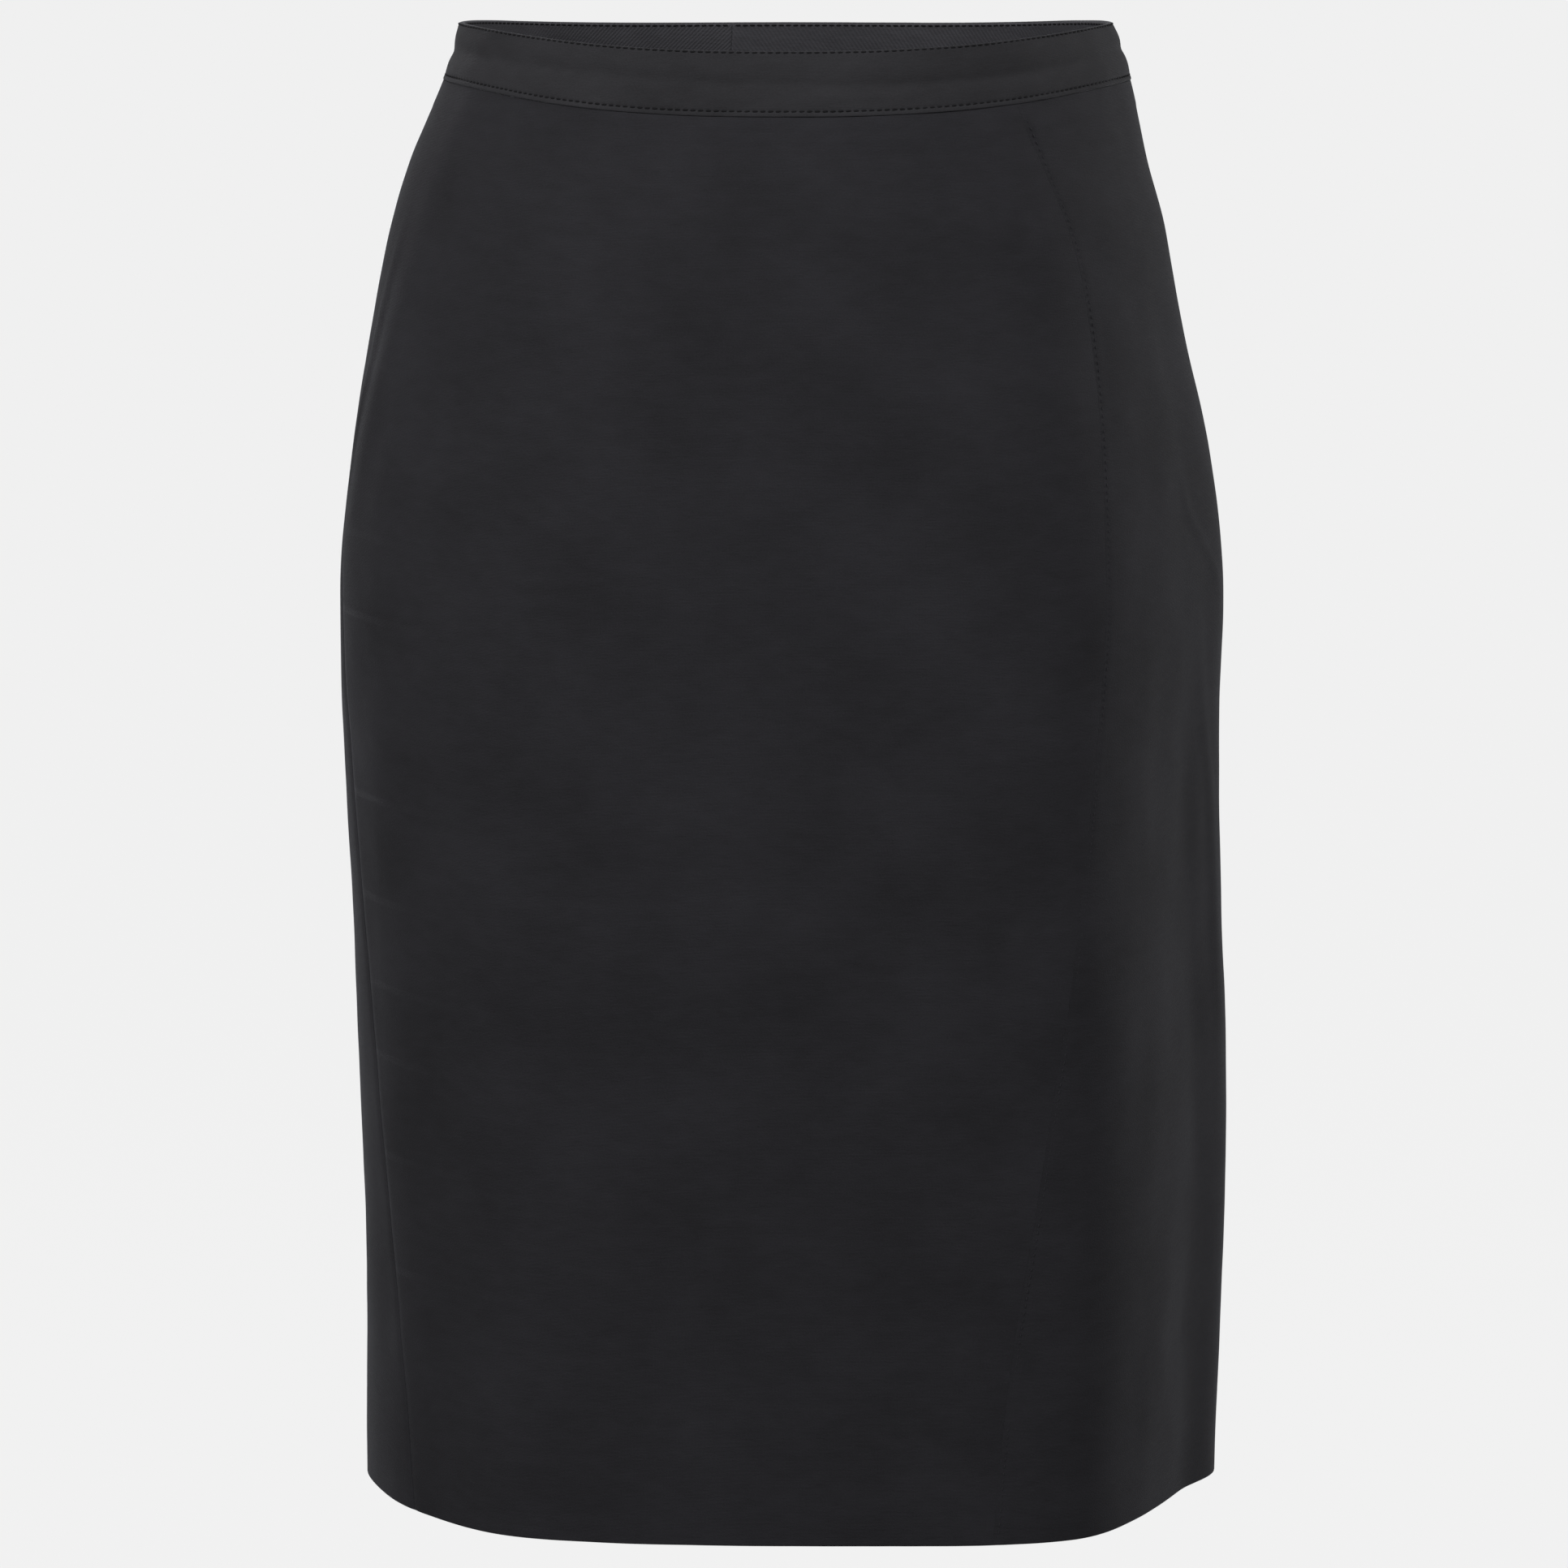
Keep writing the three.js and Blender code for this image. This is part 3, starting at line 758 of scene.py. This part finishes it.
def stitched_lift(distance):
    """The stitched edge at the curved seam: a low ridge, and a dimple under the stitches."""
    ridge = LAP_RIDGE * bump(distance - LAP_RIDGE_PLACE, LAP_RIDGE_WIDTH)
    return ridge - STITCH_DIMPLE * bump(distance - STYLE_STITCH, STITCH_DIMPLE_WIDTH)


def flat_places(turn, drop, across):
    """Places on the flat cloth: from the middle of the front or back, and from the waist."""
    middle_turn = 0 if faces_front(turn.mean()) else 180
    middle = np.argmin(np.abs(turned_by(turn, middle_turn)), axis=1)
    centre = np.take_along_axis(across, middle[:, None], axis=1)
    return np.stack([across - centre, -drop], axis=-1)


def panel(name, first_seam, last_seam):
    """One panel, from its left seam to its right seam."""
    turn, drop = panel_grid(first_seam, last_seam)
    base = skirt_point(turn, drop)
    normal = outward(skirt_point, turn, drop)
    across = travelled(base, 1)
    seams = [(first_seam, across), (last_seam, across[:, -1:] - across)]
    top, hem = drop - drop[:1], LENGTH - drop
    ledge = within(top, BAND_ALLOWANCE, LEDGE_SOFT)
    turn_up = within(hem, HEM_TURN_UP, TURN_UP_SOFT)

    lift = crease_lift(turn, drop) + dart_lift(turn, drop) + uneven(base, CLOTH_WAVES)
    lift += LEDGE_LIFT * ledge + TURN_UP_LIFT * turn_up
    lift += sum(seam_lift(seam, distance) for seam, distance in seams)
    if first_seam is style_seam:
        lift += stitched_lift(across)

    allowances = [within(distance, SEAM_ALLOWANCE, ALLOWANCE_SOFT) for seam, distance in seams]
    thickness = WALL + ALLOWANCE_WALL * np.maximum(*allowances)
    thickness += (HEM_WALL - WALL) * turn_up + LEDGE_WALL * ledge
    falls = [rounding(distance, seam_round(seam)) for seam, distance in seams]
    fall = np.maximum.reduce([*falls, rounding(top, LAP_ROUND), rounding(hem, WALL / 2)])
    outside = base + normal * (lift - fall)[..., None]
    inside = base + normal * (lift - thickness + fall * (thickness / WALL))[..., None]
    obj = shell(name, outside, inside, flat_places(turn, drop, across), [CLOTH, CLOTH_BACK])
    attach(obj, "skirt")
    return obj


front = panel("front_cloth", left_seam, style_seam)
side = panel("front_side_cloth", style_seam, right_seam)
back_right = panel("back_right_cloth", right_seam, back_seam)
back_left = panel("back_left_cloth", back_seam_before, left_seam)
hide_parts("front_panel")
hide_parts("front_side_panel")
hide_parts("back_right_panel")
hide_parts("back_left_panel")

# Waistband

BAND_INSIDE = BAND_PROUD - BAND_WALL
TOP_STITCH = 0.75
LOWER_STITCH = 2.1
STITCH_PITCH = 3.1
BAND_COLUMNS = 1000
BAND_WAVES = [(0.1, 30, 21), (0.03, 9, 22)]
BAND_INSIDE_WAVES = [(0.04, 16, 23)]
BAND_INSIDE_SHARE = 0.3
BAND_TOP_ROUND = 0.8
BAND_LOWER_ROUND = 0.3
BAND_END_ROUND = 0.15
BAND_CREASE_DEPTH = 0.65
BAND_CREASE_WIDTH = 2.2
BAND_CREASE_SWAY = 1.2
BAND_STEPS = [
    0, 0.12, 0.35, 0.7, 1.05, 1.4, 1.75, 2.2, 3, 4, 5.2, 6.6, 8, 9.4, 10.6, 11.6, 12.6, 13.6, 14.8, 16.2,
    17.6, 19, 20.2, 21.2, 22, 22.5, 22.9, 23.3, 23.7, 24.1, 24.5, 24.75, 24.9, 25,
]

# Swells across the waistband: height, place as a share of the waistband's height, width
UPPER_SWELL = (0.35, 0.24, 3.2)
LOWER_SWELL = (0.3, 0.27, 3)

# Stitched grooves: depth, how much that swings from stitch to stitch, width
TOP_GROOVE = (0.28, 0.16, 0.5)
LOWER_GROOVE = (0.3, 0.18, 0.55)

# The waistband's lower edge swells a little below its stitches: height, distance from the edge, width
EDGE_SWELL = (0.1, 0.9, 0.55)


def band_crease(turn, down, height):
    """A soft crease along the waistband, which sways and is strongest at the right of the front."""
    strength = 0.75 + 0.45 * smoothstep(turned_by(turn, 0), -20, 40) * within(np.abs(turn), 90, 40)
    middle = 0.5 * height + BAND_CREASE_SWAY * np.sin(np.radians(turn * 2.3 + 20))
    return -BAND_CREASE_DEPTH * strength * bump(down - middle, BAND_CREASE_WIDTH)


def swell(distance, full, height, place, width):
    return height * bump(distance - place * full, width)


def groove(distance, stitch, depth, swing, width):
    return (depth + swing * stitch) * bump(distance, width)


def band_relief(turn, down, height, arc):
    """The waistband's soft crease and its two stitched edges, in millimetres."""
    low = height - down
    stitch = np.cos(2 * np.pi * arc / STITCH_PITCH)
    relief = band_crease(turn, down, height)
    relief += swell(down, height, *UPPER_SWELL) + swell(low, height, *LOWER_SWELL)
    relief -= groove(down - TOP_STITCH, stitch, *TOP_GROOVE)
    relief -= groove(low - LOWER_STITCH, stitch, *LOWER_GROOVE)
    relief += swell(low, 1, *EDGE_SWELL)
    return relief


def band_place(turn, down_share):
    height = band_height(turn)
    down = down_share * height
    drop = top_edge(turn) + down
    return down, height, drop


def waistband():
    seam = back_seam(np.array(0.0))
    turns = np.linspace(seam - 360, seam, BAND_COLUMNS)[None]
    shares = (np.array(BAND_STEPS) / BAND_STEPS[-1])[:, None]
    turn, share = np.broadcast_arrays(turns, shares)
    down, height, drop = band_place(turn, share)
    base = skirt_point(turn, drop)
    normal = outward(skirt_point, turn, drop)
    arc = travelled(base, 1)
    ends = np.minimum(arc, arc[:, -1:] - arc)
    low = height - down
    relief = band_relief(turn, down, height, arc)
    relief += uneven(base, BAND_WAVES)
    edges = [(down, BAND_TOP_ROUND), (low, BAND_LOWER_ROUND), (ends, BAND_END_ROUND)]
    fall = np.maximum.reduce([rounding(distance, radius) for distance, radius in edges])
    outside = base + normal * (BAND_PROUD + relief - fall)[..., None]
    inner = BAND_INSIDE - BAND_INSIDE_SHARE * relief + fall + uneven(base, BAND_INSIDE_WAVES)
    inside = base + normal * inner[..., None]
    uvs = np.stack([arc, -down], axis=-1)
    obj = shell("waistband_cloth", outside, inside, uvs, [BAND_CLOTH, BAND_BACK_PAINTED_LIGHT])
    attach(obj, "skirt")
    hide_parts("waistband")
    return obj


band = waistband()

# Stitches: length and radius, how far they lie sunk, and how uneven they are

BAND_STITCH = (2.1, 0.36)
SEAM_STITCH = (1.4, 0.23)
TOP_SUNK = 0.22
LOWER_SUNK = 0.2
INSIDE_SUNK = 0.05
STITCH_SHIFT = 0.03
STITCH_TILT = 0.07
SEAM_END_GAP = 1.5


def spaced(turn, drop, pitch):
    """Turns and drops at an even pitch along a line on the cloth."""
    run = travelled(skirt_point(turn, drop), 0)
    places = np.arange(pitch, run[-1] - pitch / 2, pitch)
    return np.interp(places, run, turn), np.interp(places, run, drop)


def stitch_row(name, turn, drop, lift, size, material, seed):
    turn, drop = spaced(turn, drop, STITCH_PITCH)
    draw = np.random.default_rng(seed)
    base = skirt_point(turn, drop)
    out = outward(skirt_point, turn, drop)
    run = unit(np.gradient(base, axis=0))
    shift = draw.uniform(-STITCH_SHIFT, STITCH_SHIFT, len(base))
    centres = base + out * (lift + shift)[:, None]
    tilt = draw.uniform(-STITCH_TILT, STITCH_TILT, len(base))[:, None]
    direction = unit(run + np.cross(out, run) * tilt)
    obj = capsules(name, centres, direction, out, *size, material)
    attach(obj, "skirt")
    return obj


def top_line(turn):
    return top_edge(turn) + TOP_STITCH


def lower_line(turn):
    return band_seam(turn) - LOWER_STITCH


def band_row(name, line, lift, seed):
    seam = float(back_seam(np.array(0.0)))
    turn = np.linspace(seam - 360, seam, 3000)
    return stitch_row(name, turn, line(turn), lift, BAND_STITCH, BAND_THREAD_PAINTED_SHADE, seed)


def style_row():
    drop = np.linspace(BAND["middle"] + SEAM_END_GAP, LENGTH - SEAM_END_GAP, 1500)
    turn = style_seam(drop)
    turn = turn + STYLE_STITCH / millimetres_per_degree(turn, drop)
    return stitch_row("style_seam_stitches", turn, drop, 0, SEAM_STITCH, SEAM_THREAD_PAINTED_SHEEN, 31)


band_rows = [
    band_row("band_top_stitches", top_line, BAND_PROUD - TOP_SUNK, 32),
    band_row("band_top_stitches_inside", top_line, BAND_INSIDE + INSIDE_SUNK, 33),
    band_row("band_lower_stitches", lower_line, BAND_PROUD - LOWER_SUNK, 34),
    band_row("band_lower_stitches_inside", lower_line, BAND_INSIDE - INSIDE_SUNK, 35),
]
side_rows = [style_row()]

# Zip, closed, inside the back seam

ZIP_TOP, ZIP_BOTTOM = 33, 214
TAPE_WIDTH = 24
TAPE_WALL = 0.7
TAPE_DEPTH = 2.2
TAPE_STEPS = [0, 0.2, 0.6, 1.2, 2.4, 4, 6, 7.6, 8.4, 9.2, 10.4, 11.4, 11.8, 12]
TAPE_ROWS = 110
TAPE_RIDGE = 0.18
TAPE_RIDGE_PLACE = 4.2
TAPE_RIDGE_WIDTH = 0.5
TOOTH_PITCH = 1.25
TOOTH_SIZE = (4.8, 0.52)
TOOTH_DEPTH = 0.45
TOOTH_SLANT = 0.12
COIL_TOP_GAP = 2
COIL_BOTTOM_GAP = 3
METAL_BEVEL = 0.00014


def zip_tape():
    steps = np.array(TAPE_STEPS)
    offsets = np.concatenate([steps - TAPE_WIDTH / 2, TAPE_WIDTH / 2 - steps[-2::-1]])
    drops = np.linspace(ZIP_TOP, ZIP_BOTTOM, TAPE_ROWS)
    drop, offset = np.meshgrid(drops, offsets, indexing="ij")
    seam = back_seam(drop)
    turn = seam + offset / millimetres_per_degree(seam, drop)
    base = skirt_point(turn, drop)
    normal = outward(skirt_point, turn, drop)
    ridge = TAPE_RIDGE * bump(np.abs(offset) - TAPE_RIDGE_PLACE, TAPE_RIDGE_WIDTH)
    ends = np.minimum(drop - ZIP_TOP, ZIP_BOTTOM - drop)
    edge = np.minimum(TAPE_WIDTH / 2 - np.abs(offset), ends)
    fall = rounding(edge, TAPE_WALL / 2)
    outside = base - normal * (TAPE_DEPTH + fall)[..., None]
    inside = base - normal * (TAPE_DEPTH + TAPE_WALL + ridge - fall)[..., None]
    obj = shell("zip_tape_cloth", outside, inside, np.stack([offset, -drop], axis=-1), [TAPE, TAPE])
    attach(obj, "skirt")
    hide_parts("zip_tape")
    return obj


def zip_coil():
    drop = np.arange(ZIP_TOP + COIL_TOP_GAP, ZIP_BOTTOM - COIL_BOTTOM_GAP, TOOTH_PITCH)
    seam = back_seam(drop)
    base = skirt_point(seam, drop)
    normal = outward(skirt_point, seam, drop)
    down = unit(np.gradient(base, axis=0))
    across = unit(np.cross(normal, down))
    slanted = unit(across + TOOTH_SLANT * down)
    centres = base - normal * (TAPE_DEPTH + TAPE_WALL + TOOTH_DEPTH)
    obj = capsules("zip_coil", centres, slanted, normal, *TOOTH_SIZE, COIL_NYLON)
    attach(obj, "skirt")
    return obj


tape = zip_tape()
coil = zip_coil()


def finish_metal(node):
    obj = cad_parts[node]
    obj.data.materials.clear()
    obj.data.materials.append(SATIN_METAL)
    bevel = obj.modifiers.new("soft_edges", "BEVEL")
    bevel.width = METAL_BEVEL
    bevel.segments = 2
    bevel.limit_method = "ANGLE"


for metal in ("zip_slider", "zip_pull"):
    finish_metal(metal)

# Stage and light

FLOOR_HEIGHT = -1.05
ROOM_RADIUS = 9
ROOM_SIDES = 96
PALE = 0.871
ROOM_LIGHT = 0.32
FLOOR_SHADE = 0.02

# Lights: name, place, target, width and height, power
LIGHTS = [
    ("left_soft_box", (-1.0, -1.25, 0.95), (0, 0, -0.05), (0.8, 1.0), 23.5),
    ("right_soft_box", (1.0, -1.25, 0.95), (0, 0, -0.05), (0.8, 1.0), 18.5),
    ("left_edge_light", (-1.0, 2.0, 0.8), (0, 0, -0.2), (0.4, 1.2), 10),
    ("right_edge_light", (1.7, 1.05, 0.1), (0, 0, -0.35), (0.5, 1.2), 11),
    ("left_fill", (-1.9, -0.9, 0.2), (0, 0, -0.2), (0.8, 0.9), 8),
]


def only_seen(obj):
    """Shows in the picture, but throws no light on the skirt and no shadow."""
    obj.visible_diffuse = False
    obj.visible_glossy = False
    obj.visible_shadow = False


def stage_material(name, shade, glow):
    nodes = Nodes(name)
    grain = nodes.noise((3, 3))
    return nodes.finish({
        "Base Color": nodes.blend_colours(grain, (shade,) * 3, (1.05 * shade,) * 3),
        "Roughness": 0.95,
        "Specular IOR Level": 0.0,
        "Emission Color": (1, 1, 1, 1),
        "Emission Strength": glow,
    })


def add_floor():
    bpy.ops.mesh.primitive_circle_add(
        vertices=ROOM_SIDES, radius=ROOM_RADIUS, fill_type="NGON", location=(0, 0, FLOOR_HEIGHT)
    )
    floor = bpy.context.object
    floor.name = "floor"
    glow = PALE - FLOOR_SHADE * ROOM_LIGHT
    floor.data.materials.append(stage_material("pale_floor", FLOOR_SHADE, glow))
    only_seen(floor)


def add_room():
    """A pale round room behind and over the skirt."""
    bpy.ops.mesh.primitive_uv_sphere_add(
        segments=ROOM_SIDES,
        ring_count=ROOM_SIDES // 2,
        radius=ROOM_RADIUS,
        location=(0, 0, FLOOR_HEIGHT),
    )
    room = bpy.context.object
    room.name = "room"
    room.data.materials.append(stage_material("pale_room", 0.0, PALE))
    only_seen(room)


def add_world():
    world = bpy.data.worlds.new("soft_room_light")
    world.use_nodes = True
    background = world.node_tree.nodes["Background"]
    background.inputs["Color"].default_value = (1, 1, 1, 1)
    background.inputs["Strength"].default_value = ROOM_LIGHT
    bpy.context.scene.world = world


def add_light(name, place, target, size, power):
    data = bpy.data.lights.new(name, "AREA")
    data.shape = "RECTANGLE"
    data.size, data.size_y = size
    data.energy = power
    light = bpy.data.objects.new(name, data)
    light.location = place
    aim(light, target)
    bpy.context.collection.objects.link(light)


add_floor()
add_room()
add_world()
for light_row in LIGHTS:
    add_light(*light_row)
